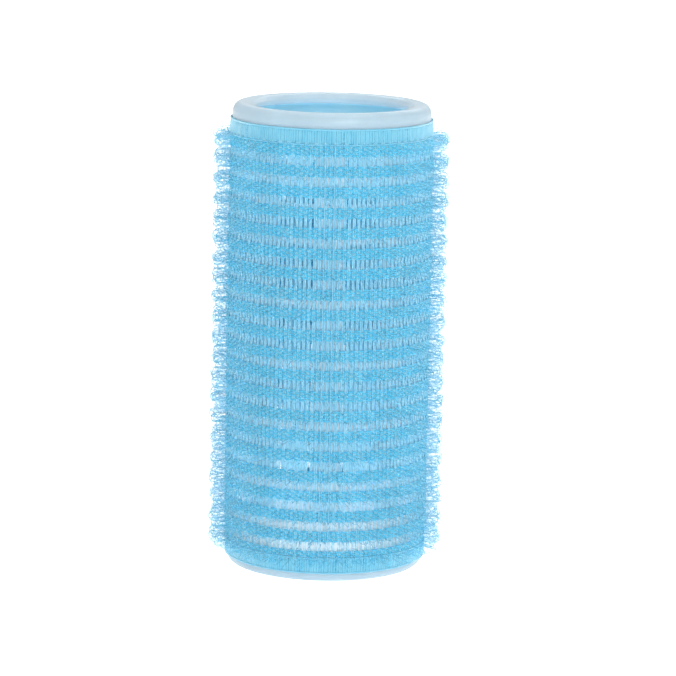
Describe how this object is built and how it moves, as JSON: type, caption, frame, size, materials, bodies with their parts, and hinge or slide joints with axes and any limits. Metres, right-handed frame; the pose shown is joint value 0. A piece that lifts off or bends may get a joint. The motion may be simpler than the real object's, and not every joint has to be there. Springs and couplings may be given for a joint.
{
  "type": "hair roller",
  "caption": "Self-grip hair roller: an open-ended moulded lattice tube in a woven sleeve whose rows of small nylon hooks hold the wound hair.",
  "frame": {"origin": "centre of the lower end face, on the roller's axis", "axes": "+Z along the roller's axis from the lower end to the upper end; -Y runs out through the middle of one of the strut lines of the core; the middle of the tape's seam is 60 degrees from +X towards +Y"},
  "size_m": [0.0324, 0.0324, 0.063],
  "materials": {
    "core_plastic": "natural translucent white, smooth, soft gloss",
    "weft_yarn": "pale blue drawn yarn, slight sheen",
    "warp_yarn": "light sky-blue multifilament yarn, soft sheen",
    "hook_filament": "translucent light blue monofilament",
    "seam_weld": "melted and set again, slightly glossy, uneven"
  },
  "bodies": {
    "root": {"core_tube": "core_plastic", "weft_yarn": "weft_yarn", "seam_weld": "seam_weld", "warp_band_01": "warp_yarn", "warp_band_02": "warp_yarn", "warp_band_03": "warp_yarn", "warp_band_04": "warp_yarn", "warp_band_05": "warp_yarn", "warp_band_06": "warp_yarn", "warp_band_07": "warp_yarn", "warp_band_08": "warp_yarn", "warp_band_09": "warp_yarn", "warp_band_10": "warp_yarn", "warp_band_11": "warp_yarn", "warp_band_12": "warp_yarn", "warp_band_13": "warp_yarn", "warp_band_14": "warp_yarn", "warp_band_15": "warp_yarn", "warp_band_16": "warp_yarn", "warp_band_17": "warp_yarn", "warp_band_18": "warp_yarn", "warp_band_19": "warp_yarn", "warp_band_20": "warp_yarn", "warp_band_21": "warp_yarn", "hook_row_01": "hook_filament", "hook_row_02": "hook_filament", "hook_row_03": "hook_filament", "hook_row_04": "hook_filament", "hook_row_05": "hook_filament", "hook_row_06": "hook_filament", "hook_row_07": "hook_filament", "hook_row_08": "hook_filament", "hook_row_09": "hook_filament", "hook_row_10": "hook_filament", "hook_row_11": "hook_filament", "hook_row_12": "hook_filament", "hook_row_13": "hook_filament", "hook_row_14": "hook_filament", "hook_row_15": "hook_filament", "hook_row_16": "hook_filament", "hook_row_17": "hook_filament", "hook_row_18": "hook_filament", "hook_row_19": "hook_filament", "hook_row_20": "hook_filament", "hook_row_21": "hook_filament"}
  },
  "joints": []
}
